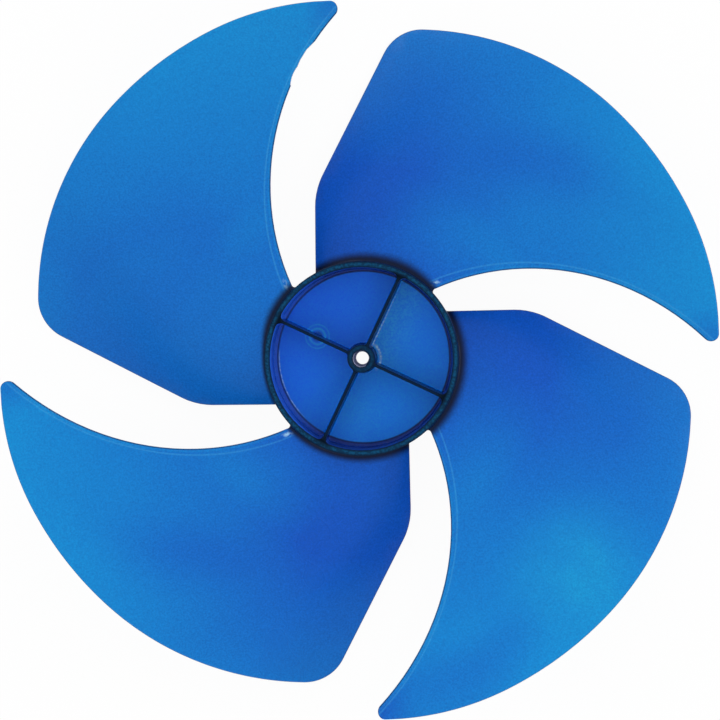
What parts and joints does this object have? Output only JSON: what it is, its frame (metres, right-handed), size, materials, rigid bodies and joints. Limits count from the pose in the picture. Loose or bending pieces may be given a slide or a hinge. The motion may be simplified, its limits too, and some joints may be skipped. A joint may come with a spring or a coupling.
{
  "type": "axial fan impeller",
  "caption": "One-piece moulded plastic fan impeller with a ribbed hub cup, a flatted shaft bore and swept twisted blades.",
  "frame": {"origin": "on the shaft axis, in the hub's closed end face", "axes": "+Z along the shaft axis towards the open, ribbed side of the hub, where the air comes in; blade angles are counted from +X towards +Y"},
  "size_m": [0.338, 0.338, 0.082],
  "materials": {
    "blue_plastic": "translucent blue, moulded gloss"
  },
  "bodies": {
    "root": {"impeller": "blue_plastic"}
  },
  "joints": []
}
